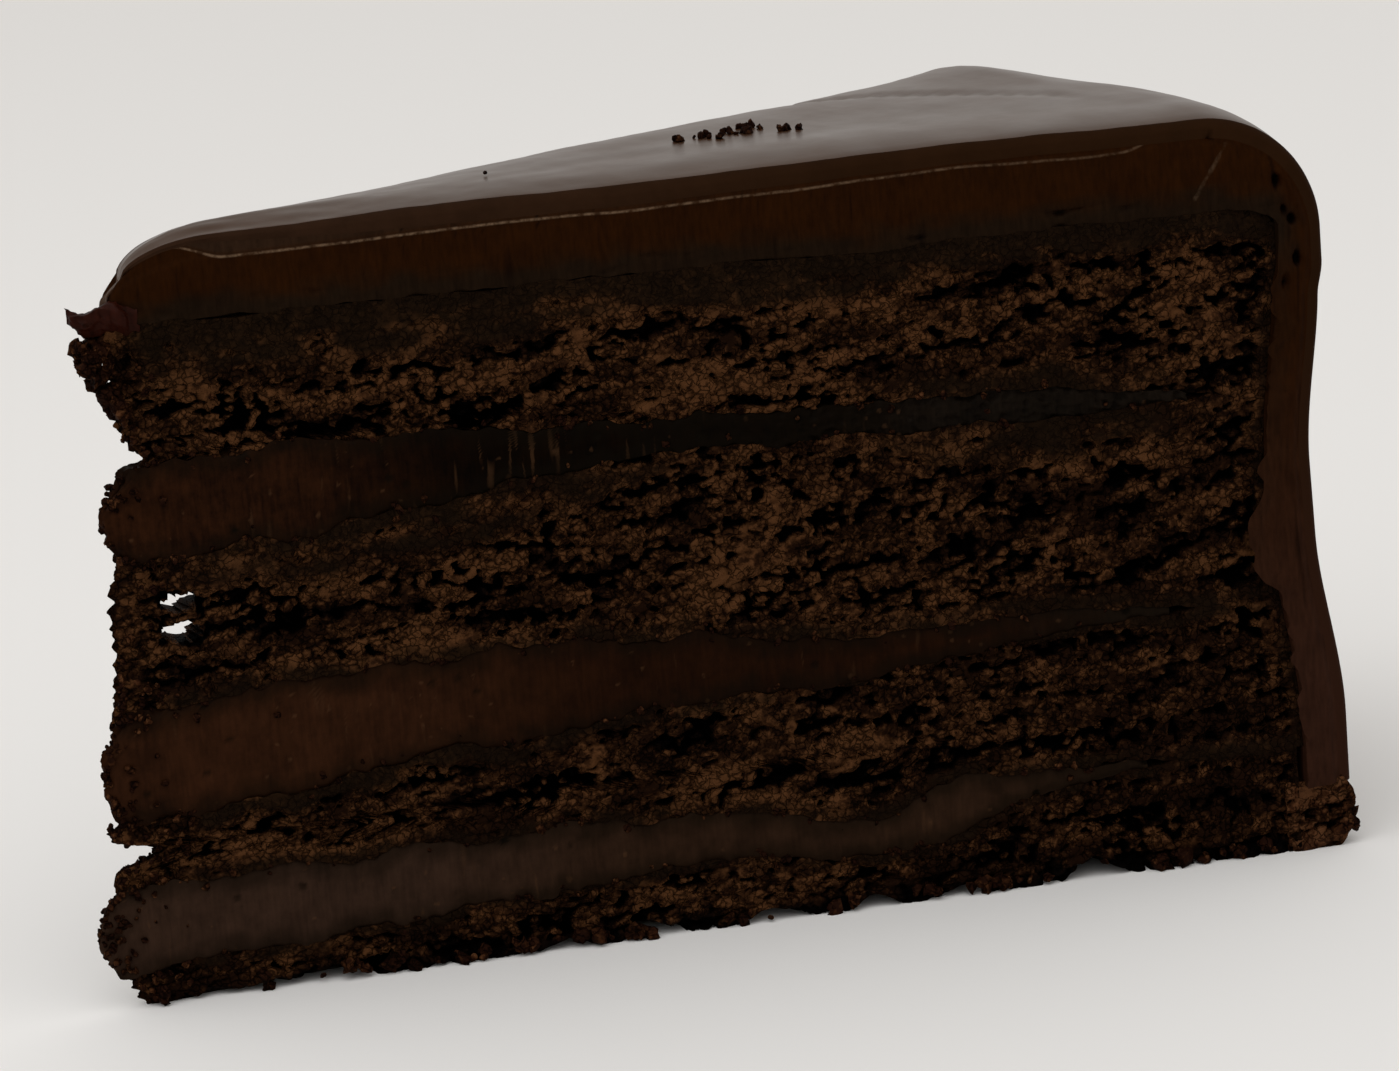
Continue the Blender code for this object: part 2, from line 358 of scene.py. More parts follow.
# How far each layer's tip stands behind the leaning tip line, at its underside and at its top
SPONGE_SETBACK = {
    1: (2.6 * MM, 0.2 * MM),
    2: (0.4 * MM, 0.9 * MM),
    3: (0.2 * MM, -0.8 * MM),
    4: (2.8 * MM, 0.4 * MM),
}
# Two deep notches torn into the tip: height, half height and depth
TIP_NOTCHES = ((14.4 * MM, 1.0 * MM, 4.2 * MM), (50.6 * MM, 0.9 * MM, 1.4 * MM))
# Two torn holes right through the thin tip: distance, height, half length and half height
TIP_HOLES = ((8.75 * MM, 37.2 * MM, 1.6 * MM, 0.85 * MM), (8.8 * MM, 34.4 * MM, 2.1 * MM, 0.95 * MM))


def sponge_layer(index, cells):
    """One sponge layer between the pieces over and under it, with both its cut sides opened up."""
    (along, across, up), faces, spots, number = box_skin(cells, (0.02, 0.02, 0.44, 0.44, 0.03, 0.03))
    r = along * 113 * MM
    chips = lumps(at(r, across * 20 * MM, 0), (5.5, 9, 1), 77)
    chipped = ramp(0.85, 1.0, np.abs(across)) * np.maximum(chips + 0.1, 0) * 3.2 * MM
    for _ in range(3):
        high = icing_underside(r, across) if index == 1 else filling_sides(index - 1, r, across)[0]
        low = chipped if index == 4 else filling_sides(index, r, across)[1]
        z = mix(low, high + 0.05 * MM, up)
        tear = at(across * MM, across * MM, z)
        ragged = 1.6 * MM * lumps(tear, (2, 2, 2.2), 70)
        ragged = ragged + 0.9 * MM * lumps(tear, (1, 1, 0.8), 71)
        start = TIP_LEAN * z + mix(*SPONGE_SETBACK[index], up) + ragged
        for height, half_height, depth in TIP_NOTCHES:
            start = start + depth * hump(height, half_height, z)
        end = outer_radius(z) - SIDE_COAT + 0.2 * MM
        if index == 4:
            end = np.minimum(end, BOTTOM_LAYER_END)
        r = mix(start, end, along)
    half = half_width(r, start)
    deepest = np.clip(half - 0.45 * MM, 0.15 * MM, DEEPEST_HOLLOW)
    inner_share = np.clip(1 - (deepest + 0.2 * MM) / half, 0.1, 0.99)
    spread = np.where(np.abs(across) == 1, across, across * 1.1 * inner_share)
    points = in_slice(r, across, spread * half, z)
    depth, tone, smear = np.zeros((3, len(points)))
    for face, inward in cut_sides(across):
        smear[face] = smeared(index, r[face], z[face], low[face], high[face], points[face])
        depth[face], tone[face] = crumb_depth(points[face], inward, deepest[face], smear[face])
    golden = lumps(points, (9, 7, 3.4), 31) - 0.22 * ramp(60, 100, r / MM)
    shade = np.zeros(len(points))
    if index == 3:
        golden += 0.25 * ramp(45, 15, r / MM)
    # The bottom layer's lowest two millimetres are painted darker, in tone and in a share of the hollows'
    # near black: a painted shadow along the floor
    if index == 4:
        golden -= 0.4 * ramp(2.4, 0.6, z / MM)
        shade = 0.32 * ramp(1.9, 0.3, z / MM + 0.9 * lumps(points, 2, 32)) * ramp(8, 16, r / MM)
    if index == 2:
        shape = (cells[0] + 1, cells[2] + 1)
        front = across == -1
        flat_r, flat_z = r[front].reshape(shape)[:-1, :-1], z[front].reshape(shape)[:-1, :-1]
        rough = 0.5 * lumps(points[front], 0.8, 95).reshape(shape)[:-1, :-1]
        gone = np.zeros_like(flat_r, bool)
        for hole_r, hole_z, half_long, half_high in TIP_HOLES:
            gone |= ((flat_r - hole_r) / half_long) ** 2 + ((flat_z - hole_z) / half_high) ** 2 + rough < 1
        punch_through(faces, spots, number, gone)
    push_in(points, across, depth)
    roughen_tip(points, along)
    # The first tone is how deep each point lies, which the finish paints as shade, plus the painted bottom
    # shadow
    tones = (depth / (3 * MM) + shade, 0.32 * tone + 0.155 + 0.40 * golden - 0.040 * index, smear)
    return new_piece(f"sponge_layer_{index}", points, faces, spots, tones)


def linear(hex_colour):
    """A colour written as sRGB hex, as the linear numbers that shaders use."""
    parts = [int(hex_colour[i:i + 2], 16) / 255 for i in (1, 3, 5)]
    return (*(p / 12.92 if p <= 0.04045 else ((p + 0.055) / 1.055) ** 2.4 for p in parts), 1.0)


def link(node, **sources):
    """Link a node's inputs to sockets, or to other nodes' first outputs that are in use."""
    for key, source in sources.items():
        if isinstance(source, bpy.types.Node):
            source = next(out for out in source.outputs if not out.is_unavailable)
        slot = key.replace("_", " ")
        slot = int(slot[3:]) if slot.startswith("in ") else slot
        node.id_data.links.new(source, node.inputs[slot])


def add_node(tree, kind, settings=None, **sources):
    """Add a node, set its properties and sockets, and link its inputs. A Mix node mixes colours."""
    node = tree.nodes.new("ShaderNode" + kind)
    if kind == "Mix":
        node.data_type = "RGBA"
    for key, value in (settings or {}).items():
        if isinstance(key, str) and hasattr(node, key):
            setattr(node, key, value)
        else:
            node.inputs[key].default_value = value
    link(node, **sources)
    return node


def new_finish(name, settings):
    """A new material, its shader with these settings, and add_node for its tree."""
    finish = bpy.data.materials.new(name)
    finish.use_nodes = True
    shader = finish.node_tree.nodes["Principled BSDF"]
    for key, value in settings.items():
        shader.inputs[key].default_value = value
    return finish, shader, partial(add_node, finish.node_tree)


def crumb_finish(name, dark, middle, golden, smear_colour, hollow_shade):
    """Baked chocolate sponge: an airy, matte, torn crumb. The eye sees moist grains, each a little
    lighter or redder than the next, and greyer streaks where it was wiped flat. The hollows are
    painted near black by their depth, and the cracks between beads darker, as painted shade."""
    # Open crumb swallows most of its own highlights, so the IOR is far under that of solid sugar
    finish, shader, add = new_finish(name, {"IOR": 1.06})
    tones = add("Attribute", {"attribute_name": "tones"})
    depth, tone, smear = add("SeparateColor", Color=tones).outputs
    spot = add("TexCoord").outputs["Object"]
    # Cocoa flecks and fine bubbles of about 0.3 mm
    flecks = add("TexNoise", {"Scale": 1 / (0.6 * MM), "Detail": 4, "Roughness": 0.65}, Vector=spot)
    # Cracks between beads of crumb 0.8 mm wide, bent by a 1 mm noise. They darken the colour as painted
    # shade, and shape the bump
    bend = add("TexNoise", {"Scale": 1 / MM, "Detail": 3}, Vector=spot)
    bent = add("VectorMath", {"operation": "MULTIPLY_ADD", 1: (1.6 * MM, 1.6 * MM, 1.0 * MM)},
               in_0=bend.outputs["Color"], in_2=spot)
    clods = add("TexVoronoi", {"Scale": 1 / (0.8 * MM), "feature": "DISTANCE_TO_EDGE"}, Vector=bent)
    where = add("TexNoise", {"Scale": 1 / (2.2 * MM), "Detail": 2}, Vector=spot)
    crack_width = {"From Min": 0.34, "From Max": 0.58, "To Min": 0.001, "To Max": 0.20}
    wide = add("MapRange", crack_width, Value=where)
    crack = add("Math", {"operation": "DIVIDE", "use_clamp": True}, in_0=clods, in_1=wide)
    crease = add("MapRange", {"To Min": 0.20}, Value=crack)
    total = add("Math", {"operation": "MULTIPLY_ADD", 1: 1.1}, in_0=flecks, in_2=tone)
    grain = add("ValToRGB", Fac=total)
    grain.color_ramp.elements[0].position = 0.62
    grain.color_ramp.elements.new(0.82)
    for stop, colour in zip(grain.color_ramp.elements, (dark, middle, golden)):
        stop.color = linear(colour)
    # Painted shade in the cracks: the grain colour falls to a fifth there
    crack_shaded = add("VectorMath", {"operation": "SCALE"}, in_0=grain, Scale=crease)
    speckle = {"From Min": 0.3, "From Max": 0.7, "To Min": 0.6, "To Max": 1.4}
    fleck_light = add("MapRange", speckle, Value=flecks)
    wiped = add("VectorMath", {"operation": "SCALE", 0: linear(smear_colour)[:3]}, Scale=fleck_light)
    mostly = add("Math", {"operation": "MULTIPLY", 1: 0.92}, in_0=smear)
    skin = add("Mix", in_0=mostly, in_6=crack_shaded, in_7=wiped)
    # Painted shade: the deeper the crumb lies in its hollow, the nearer its colour is mixed to black
    depth_shade = add("MapRange", {"From Min": 0.14, "From Max": 0.42}, Value=depth)
    shaded = add("Mix", {7: linear(hollow_shade)}, in_0=depth_shade, in_6=skin)
    dome = add("Math", {"operation": "MULTIPLY_ADD", 1: 0.7}, in_0=crack, in_2=flecks)
    bump = add("Bump", {"Strength": 0.8, "Distance": 0.3 * MM}, Height=dome)
    moist = add("MapRange", {"To Min": 0.40, "To Max": 0.75}, Value=flecks)
    link(shader, Base_Color=shaded, Normal=bump, Roughness=moist)
    return finish


sponge_look = crumb_finish("baked chocolate sponge", "#160a04", "#2d1a0d", "#492e1a", "#130b05", "#020101")
SPONGE_CELLS = {1: (500, 6, 74), 2: (500, 6, 80), 3: (500, 6, 60), 4: (500, 6, 40)}
for index, cells in SPONGE_CELLS.items():
    layer = sponge_layer(index, cells)
    layer.data.materials.append(sponge_look)
    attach(layer, "root")
    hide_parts(f"sponge_{index}")

# ---- The three fillings ----
# Soft chocolate buttercream, spread by palette knife between the layers and thinner towards the
# rim. The long knife wiped each cut edge smooth and left fine upright drag lines, and at the tip
# each filling is squeezed out a little in front of the sponge.
FILLING_SETBACK = {1: -0.4 * MM, 2: -1.1 * MM, 3: -2.0 * MM}
# Where each filling's coat grows thin and dark, and where it turns into a grey smear of crumb and
# buttercream: from and to, in mm from the cake's middle
DARK_FROM = {1: (14, 40), 2: (24, 52), 3: (24, 52)}
RIM_FROM = {1: (66, 84), 2: (84, 98), 3: (84, 98)}


def filling_layer(index, cells):
    """One filling between its two sponge layers, with both cut sides wiped smooth by the knife."""
    (along, across, up), faces, spots, _ = box_skin(cells, (0.03, 0.01, 0.42, 0.42, 0.06, 0.06))
    reach = FILLINGS[index][3] * MM
    r = along * reach
    for _ in range(3):
        low, high = filling_sides(index, r, across)
        z = mix(low, high, up)
        tear = at(across * MM, across * MM, z)
        ragged = 0.8 * MM * lumps(tear, (2, 2, 1.6), 74)
        start = TIP_LEAN * z + FILLING_SETBACK[index] + 1.8 * MM * (2 * up - 1) ** 2 + ragged
        r = mix(start, reach, along)
    half = half_width(r, start)
    points = in_slice(r, across, across * half, z)
    edge = np.minimum(z - low, high - z) / MM + 0.35 * lumps(points, 1.2, 51)
    drag = lumps(points, (0.50, 3, 6), 52) * (0.6 + 0.8 * lumps(points, 8, 53))
    spot, owner = grains(points, 1.5, 54)
    speck = np.where(owner > 0.55, ramp(0.26, 0.10, spot), 0)
    pit = np.where(owner < 0.10, ramp(0.34, 0.18, spot), 0)
    depth = 0.12 + 0.14 * lumps(points, 3.5, 55) + 0.06 * lumps(points, 0.9, 56) + 0.05 * drag
    depth += 0.20 * np.exp(-np.maximum(edge, 0) / 0.35) - 0.08 * speck + 0.22 * pit
    top_one = index == 1
    ragged_end = ramp(6, 1, (r - start) / MM) + 2.0 * top_one * ramp(48, 70, r / MM)
    depth += ragged_end * 0.35 * np.abs(lumps(points, 0.9, 57))
    depth = np.clip(depth, -0.05, 0.4 * half / MM) * (np.abs(across) == 1)
    push_in(points, across, depth * MM)
    roughen_tip(points, along)
    patchy = 0.9 * lumps(points, 2.2, 58) + 0.4 * lumps(points, 0.7, 59)
    border = ramp(2.4, 0.1, edge - 0.6 * top_one * ramp(45, 65, r / MM) + patchy)
    border = border * (1 - 0.6 * top_one * ramp(66, 80, r / MM))
    thinned = 0.5 * ramp(*DARK_FROM[index], r / MM) + 0.5 * ramp(*RIM_FROM[index], r / MM + 6 * patchy)
    scraped = 0.8 + 1.3 * top_one * hump(42, 18, r / MM)
    # The first tone paints shade into the pits and along the borders with the sponge
    tones = (0.6 * pit + 0.62 * border, thinned, 0.5 + scraped * drag + 0.6 * speck)
    return new_piece(f"filling_layer_{index}", points, faces, spots, tones)


def buttercream_finish(name, thick, thin, at_rim, roughness, streak, ior=1.07):
    """Chocolate buttercream, wiped by a knife: satin, close and fatty. The eye sees faint upright
    streaks, pale sugar specks, and a darker, redder tone where the coat is thin."""
    finish, shader, add = new_finish(name, {"IOR": ior})
    tones = add("Attribute", {"attribute_name": "tones"})
    depth, far, drag = add("SeparateColor", Color=tones).outputs
    spot = add("TexCoord").outputs["Object"]
    # Drag lines about 0.4 mm apart and 3 mm tall
    tall = add("Mapping", {"Scale": (2.6, 2.6, 0.35)}, Vector=spot)
    streaks = add("TexNoise", {"Scale": 1 / MM, "Detail": 3}, Vector=tall)
    clouds = add("TexNoise", {"Scale": 1 / (3 * MM), "Detail": 5, "Roughness": 0.7}, Vector=spot)
    both = add("Math", {"operation": "MULTIPLY_ADD", 1: 0.5}, in_0=streaks, in_2=clouds)
    contrast = {"From Min": 0.55, "From Max": 0.95, "To Min": 1 - streak, "To Max": 1 + streak}
    light = add("MapRange", contrast, Value=both)
    body = add("ValToRGB", Fac=far)
    body.color_ramp.elements.new(0.5)
    for stop, colour in zip(body.color_ramp.elements, (thick, thin, at_rim)):
        stop.color = linear(colour)
    streaked = add("VectorMath", {"operation": "SCALE"}, in_0=body, Scale=light)
    speckled = add("MapRange", {"From Min": 0.75, "From Max": 1.15, "To Max": 0.55}, Value=drag)
    sugared = add("Mix", {7: linear("#4a3220")}, in_0=speckled, in_6=streaked)
    # Painted shade: pits and the borders with the sponge are mixed towards near black
    pit_shaded = add("Mix", {7: linear("#0b0703")}, in_0=depth, in_6=sugared)
    gloss = add("MapRange", {"To Min": roughness - 0.10, "To Max": roughness + 0.14}, Value=clouds)
    bump = add("Bump", {"Strength": 0.25, "Distance": 0.15 * MM}, Height=both)
    link(shader, Base_Color=pit_shaded, Roughness=gloss, Normal=bump)
    return finish


# Colours where the coat is thick, thin and at the rim, then its roughness and how strong its streaks are
BUTTERCREAM = {
    1: ("#1f0e05", "#060200", "#110c08", 0.42, 0.60),
    2: ("#271409", "#190a03", "#170f09", 0.44, 0.34),
    3: ("#2c1e16", "#26180f", "#1c120b", 0.50, 0.28),
}
for index, look in BUTTERCREAM.items():
    layer = filling_layer(index, (430, 6, 22))
    layer.data.materials.append(buttercream_finish(f"wiped chocolate buttercream {index}", *look))
    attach(layer, "root")
    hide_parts(f"filling_{index}")

# ---- The icing ----
# A thick coat of poured chocolate ganache that set over the top and down the rim in one piece. Its
# poured skin is smooth and glossy. The knife dragged the two cut faces dull, and rolled a thin pale
# burr along their upper edge.
FOOT_HEIGHT = 6.6 * MM
# Shares of the coat's cells along that lie on the top and round the shoulder
TOP_SHARE = 0.60
BEND_SHARE = 0.11
# Radius of the rolled upper edges. Of the 17 cells from the middle to a cut, 12 lie between them
LIP_AT_TIP, LIP_AT_RIM = 0.4 * MM, 1.5 * MM
LIP_FROM = 12 / 17
# The top falls away over this width beside each cut
CROWN = 9.0 * MM
# The burr runs this far under the upper edge, in mm
BURR_UNDER_EDGE = 1.95
# A crack crosses the shoulder on the near cut: its lower end and its run, along and up, in mm
CRACK_END = (105.8, 63.8)
CRACK_RUN = (4.7, 7.1)


def swells(r, across):
    """Slow unevenness of the poured top: a rounded tip, a lump and a crease near the far edge."""
    spot = at(r, across * 20 * MM, 0)
    rise = 0.35 * lumps(spot, 22, 80) + 0.10 * lumps(spot, 6, 81)
    rise += 0.4 * hump(104 * MM, 4 * MM, r) * ramp(0.2, 0.95, across)
    rise -= 1.0 * ramp(103 * MM, 110 * MM, r) * ramp(-0.5, 0.6, across)
    crease = r - mix(101 * MM, 94 * MM, np.clip(across + 0.1, 0, 1) / 0.4)
    rise -= 0.25 * hump(0, 1.0 * MM, crease) * ramp(-0.35, 0.0, across)
    return rise * ramp(0, 20 * MM, r) * MM


# Air holes and tears beside the rim, on the near cut: distance from the middle, height and size in mm
AIR_HOLES = ((113.6, 64.9, 0.42), (113.9, 62.2, 0.32), (114.6, 61.2, 0.36), (115.0, 57.4, 0.40),
             (107.4, 69.4, 0.30), (113.6, 55.4, 0.50))


def lip_size(r):
    """How far the upper edges are rolled over: hardly at the tip, more and more towards the rim."""
    return mix(LIP_AT_TIP, LIP_AT_RIM, ramp(8 * MM, 36 * MM, r))


def icing_coat(cells):
    """The coat: a block bent over the shoulder, its upper edges and its tip rounded off."""
    (along, side, up), faces, spots, _ = box_skin(cells, (0.03, 0.03, 0.26, 0.26, 0.08, 0.34))
    rough_r = np.clip(along / TOP_SHARE, 0, 1) * CAKE_RADIUS + 2 * MM
    reach = half_width(rough_r, 0)
    lip_share = 0.95 * np.minimum(lip_size(rough_r), 0.8 * reach) / reach
    rolled = np.clip((np.abs(side) - LIP_FROM) / (1 - LIP_FROM), 0, 1)
    flat_part = np.clip(np.abs(side) / LIP_FROM, 0, 1)
    across = np.sign(side) * (flat_part * (1 - lip_share) + rolled * lip_share)
    up = 1 - (1 - up) ** 1.25
    flat_r, centre_z = CAKE_RADIUS - SHOULDER, HEIGHT - SHOULDER
    bend = np.clip((along - TOP_SHARE) / BEND_SHARE, 0, 1) * math.pi / 2
    down = np.clip((along - TOP_SHARE - BEND_SHARE) / (1 - TOP_SHARE - BEND_SHARE), 0, 1)
    flat = flat_r * np.minimum(along / TOP_SHARE, 1)
    side_z = mix(centre_z, FOOT_HEIGHT - 0.2 * MM, down)
    on_side = down > 0
    outer_r = np.where(on_side, outer_radius(side_z), flat + SHOULDER * np.sin(bend))
    outer_z = np.where(on_side, side_z, centre_z + SHOULDER * np.cos(bend))
    inner_bend = flat + (SHOULDER - SIDE_COAT) * np.sin(bend)
    inner_r = np.where(on_side, outer_radius(side_z) - SIDE_COAT, inner_bend)
    inner_z = np.where(on_side, side_z, icing_underside(inner_r, across))
    patch = at(outer_r, across * 20 * MM, side_z)
    thicker = 3.0 * hump(31 * MM, 4.5 * MM, side_z)
    thicker += 1.0 * lumps(patch, 5, 82) + 1.3 * lumps(patch, 1.8, 83)
    inner_r = inner_r - np.where(on_side, thicker, 0) * MM * ramp(0, 0.15, down) * (np.abs(across) == 1)
    start = TIP_LEAN * mix(inner_z, outer_z, up) + 0.2 * MM + 1.2 * MM * (2 * up - 1) ** 2
    start = start + 0.5 * MM * lumps(at(across * MM, across * MM, up * 9 * MM), 2.5, 84)
    near_tip = 1 - ramp(0, TOP_SHARE, along)
    outer_r, inner_r = outer_r + start * near_tip, inner_r + start * near_tip
    round_tip = np.clip(1 - (outer_r - start) / (9 * MM), 0, 1)
    nose = 3.6 * MM * (1 - np.sqrt(1 - round_tip ** 2)) + 0.3 * MM * near_tip
    outer_z = outer_z + swells(outer_r, across) - nose
    half = half_width(outer_r, start)
    lip = np.minimum(lip_size(outer_r), 0.8 * half)
    edge = np.clip((np.abs(across) * half - (half - lip)) / lip, 0, 1)
    drop = lip * (1 - np.sqrt(1 - edge * edge))
    crowned = np.clip((np.abs(across) * half - (half - CROWN)) / CROWN, 0, 1)
    outer_z = outer_z - 0.9 * MM * crowned ** 2 * (1 - down)
    thickness = np.hypot(outer_r - inner_r, outer_z - inner_z)
    up_in = up * (1 - drop / thickness)
    r, z = mix(inner_r, outer_r, up_in), mix(inner_z, outer_z, up_in)
    points = in_slice(r, across, across * half, z)

    below = thickness * (1 - up_in) / MM
    above = thickness * up_in / MM
    drag = lumps(points, (0.6, 3, 7), 85)
    depth = 0.10 * lumps(points, 5, 86) + 0.05 * lumps(points, 1.1, 87) + 0.04 * drag + 0.08
    depth += 0.02 * ramp(0.9, 0.1, above)
    line = below - BURR_UNDER_EDGE - 0.25 * lumps(points, (11, 9, 1000), 88)
    broken = (0.85 + 0.4 * lumps(points, (3, 3, 3), 89)) * ramp(10, 16, r / MM)
    ends = ramp(16, 10, r / MM) + ramp(99, 106, r / MM)
    burr = hump(0, 0.20, line) * broken * np.clip(1 - ends, 0, 1)
    depth += 0.22 * ramp(0.4, -0.4, line) - 0.22 * burr
    torn = np.maximum(lumps(points, (3.4, 3, 0.9), 91) - 0.30, 0) * ramp(2.8, 0.8, above)
    depth += 1.6 * torn
    from_end = np.stack((r, z), -1) / MM - CRACK_END
    share = np.clip(from_end @ CRACK_RUN / np.dot(CRACK_RUN, CRACK_RUN), 0, 1)
    wobble = 0.35 * lumps(points, 1.5, 92)
    from_crack = np.hypot(*(from_end - share[:, None] * CRACK_RUN).T) + np.abs(wobble)
    crack = hump(0, 0.15, from_crack)
    holes = np.zeros(len(points))
    for hole_r, hole_z, width in AIR_HOLES:
        holes += hump(0, width, np.hypot(r / MM - hole_r, 0.7 * (z / MM - hole_z)) + wobble)
    near = across == -1
    depth += near * (0.25 * crack + 1.2 * np.minimum(holes, 1))
    depth = np.clip(depth, -0.12, 0.4 * half / MM) * (np.abs(across) == 1)
    push_in(points, across, depth * MM)
    points[:, 2] += (up == 1) * 0.03 * MM * lumps(points, 1.5, 93)
    beside_line = line + 2 * ends
    beside_line = np.where(near & (from_crack < np.abs(beside_line)), 0.6 * from_crack, beside_line)
    grey = ramp(3.2, 0.6, above + 1.1 * lumps(points, (3, 3, 1.6), 94))
    grey = grey * (1 - 0.7 * ramp(0, 0.1, down))
    # The third tone is low in the tears and air holes, which the finish paints black as shade
    tones = (0.5 + 0.25 * beside_line, grey, 0.5 + 0.5 * drag - 0.9 * (torn + near * holes))
    coat = new_piece("icing_coat", points, faces, spots, tones)
    # Finish 0 is the poured skin, 1 the cut and hidden sides, 2 the rolled lips
    finish = np.repeat((0, 1, 1, 1, 1, 0), [len(group) for group in faces])
    on_lip = np.abs(side) > LIP_FROM - 0.1 / 17
    finish[on_lip[np.concatenate(faces)].all(1) & (finish == 0)] = 2
    coat.data.polygons.foreach_set("material_index", finish.astype(np.int32))
    return coat


def poured_ganache():
    """Poured dark ganache: fat and sugar set to a smooth skin. The eye sees the room's soft light in
    it at a low angle, a thin greyish bloom, and faint long waves."""
    shine = {"IOR": 1.38, "Specular IOR Level": 0.30, "Specular Tint": linear("#ffefdd")}
    finish, shader, add = new_finish("poured chocolate ganache", shine)
    spot = add("TexCoord").outputs["Object"]
    bloom = add("TexNoise", {"Scale": 1 / (9 * MM), "Detail": 6, "Roughness": 0.62}, Vector=spot)
    body = add("Mix", {6: linear("#2a1609"), 7: linear("#3d2716")}, in_0=bloom)
    gloss = add("MapRange", {"To Min": 0.22, "To Max": 0.42}, Value=bloom)
    # Tiny burst bubbles and dust, under half a millimetre across
    dust = add("TexNoise", {"Scale": 1 / (0.9 * MM), "Detail": 3}, Vector=spot)
    bump = add("Bump", {"Strength": 0.10, "Distance": 0.1 * MM}, Height=dust)
    link(shader, Base_Color=body, Roughness=gloss, Normal=bump)
    return finish


# The coat is paler low down on the side: heights where that starts and is whole, and its colour there
SIDE_FADE = {"From Min": 50 * MM, "From Max": 18 * MM}
SIDE_COLOUR = {7: linear("#29170f")}


def rolled_lip():
    """The same skin where the knife rolled it over the cut: its shine is broken up. A greyish sheen over
    dark brown is painted into its colour, palest at the tip and fading out towards the rim."""
    finish, shader, add = new_finish("rolled lip of the ganache", {"IOR": 1.05})
    spot = add("TexCoord").outputs["Object"]
    bloom = add("TexNoise", {"Scale": 1 / (4 * MM), "Detail": 7, "Roughness": 0.7}, Vector=spot)
    places = add("SeparateXYZ", Vector=spot)
    # Painted sheen: towards the tip the lip takes the paler, greyer colours
    far = add("MapRange", {"From Min": AXIS_X + 18 * MM, "From Max": AXIS_X + 74 * MM},
              Value=places.outputs["X"])
    pale = add("Mix", {6: linear("#1a0f08"), 7: linear("#332116")}, in_0=bloom)
    dull = add("Mix", {6: linear("#1b0e05"), 7: linear("#28170b")}, in_0=bloom)
    skin = add("Mix", in_0=far, in_6=pale, in_7=dull)
    low = add("MapRange", SIDE_FADE, Value=places.outputs["Z"])
    paler = add("Mix", SIDE_COLOUR, in_0=low, in_6=skin)
    gloss = add("MapRange", {"To Min": 0.5, "To Max": 0.75}, Value=bloom)
    link(shader, Base_Color=paler, Roughness=gloss)
    return finish


def cut_ganache():
    """The same ganache dragged by the knife: dull and close, red-brown, with faint upright streaks,
    a pale dry burr, and a grey-green smear where it meets the sponge."""
    finish, shader, add = new_finish("knife-cut chocolate ganache", {"IOR": 1.06, "Roughness": 0.5})
    tones = add("Attribute", {"attribute_name": "tones"})
    beside_line, grey, drag = add("SeparateColor", Color=tones).outputs
    spot = add("TexCoord").outputs["Object"]
    tall = add("Mapping", {"Scale": (2.4, 2.4, 0.5)}, Vector=spot)
    streaks = add("TexNoise", {"Scale": 1 / MM, "Detail": 3}, Vector=tall)
    clouds = add("TexNoise", {"Scale": 1 / (3.5 * MM), "Detail": 8, "Roughness": 0.75}, Vector=spot)
    both = add("Math", {"operation": "ADD"}, in_0=streaks, in_1=clouds)
    contrast = {"From Min": 0.75, "From Max": 1.25, "To Min": 0.76, "To Max": 1.26}
    light = add("MapRange", contrast, Value=both)
    body = add("Mix", {6: linear("#1f0d02"), 7: linear("#170e07")}, in_0=grey)
    places = add("SeparateXYZ", Vector=spot)
    low = add("MapRange", SIDE_FADE, Value=places.outputs["Z"])
    paler = add("Mix", SIDE_COLOUR, in_0=low, in_6=body)
    # Over the burr the face is painted greyer, most of all towards the tip: a painted sheen
    over = add("MapRange", {"From Min": 0.49, "From Max": 0.38, "To Max": 0.8}, Value=beside_line)
    near_tip = add("MapRange", {"From Min": AXIS_X + 74 * MM, "From Max": AXIS_X + 16 * MM},
                   Value=places.outputs["X"])
    lip_sheen_share = add("Math", {"operation": "MULTIPLY"}, in_0=over, in_1=near_tip)
    lip_sheened = add("Mix", {7: linear("#281b12")}, in_0=lip_sheen_share, in_6=paler)
    streaked = add("VectorMath", {"operation": "SCALE"}, in_0=lip_sheened, Scale=light)
    # Dry sugar grains along the burr, about 0.4 mm wide
    sugar = add("TexNoise", {"Scale": 1 / (0.8 * MM), "Detail": 3, "Roughness": 0.7}, Vector=spot)
    dry = add("MapRange", {"From Min": 0.38, "From Max": 0.62, "To Min": 0.14}, Value=sugar)
    gap = add("Math", {"operation": "SUBTRACT", 1: 0.5}, in_0=beside_line)
    size = add("Math", {"operation": "ABSOLUTE"}, in_0=gap)
    line_width = {"From Min": 0.008, "From Max": 0.042, "To Min": 0.8, "To Max": 0}
    thin = add("MapRange", line_width, Value=size)
    sparse = add("Math", {"operation": "MULTIPLY"}, in_0=thin, in_1=dry)
    fading = add("MapRange", {"From Min": AXIS_X + 45 * MM, "From Max": AXIS_X + 90 * MM,
                                              "To Min": 1, "To Max": 0.45}, Value=places.outputs["X"])
    powder = add("Math", {"operation": "MULTIPLY"}, in_0=sparse, in_1=fading)
    # Painted shade: air holes and tears, and also the darkest drag streaks, are mixed towards black
    holes_shade_and_streaks = add("MapRange", {"From Max": 0.32, "To Min": 1, "To Max": 0}, Value=drag)
    holes_shaded = add("Mix", {7: linear("#050201")}, in_0=holes_shade_and_streaks, in_6=streaked)
    dusted = add("Mix", {7: linear("#665240")}, in_0=powder, in_6=holes_shaded)
    bump = add("Bump", {"Strength": 0.3, "Distance": 0.15 * MM}, Height=both)
    link(shader, Base_Color=dusted, Normal=bump)
    return finish


icing = icing_coat((400, 34, 40))
for finish in (poured_ganache, cut_ganache, rolled_lip):
    icing.data.materials.append(finish())
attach(icing, "root")
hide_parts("icing")

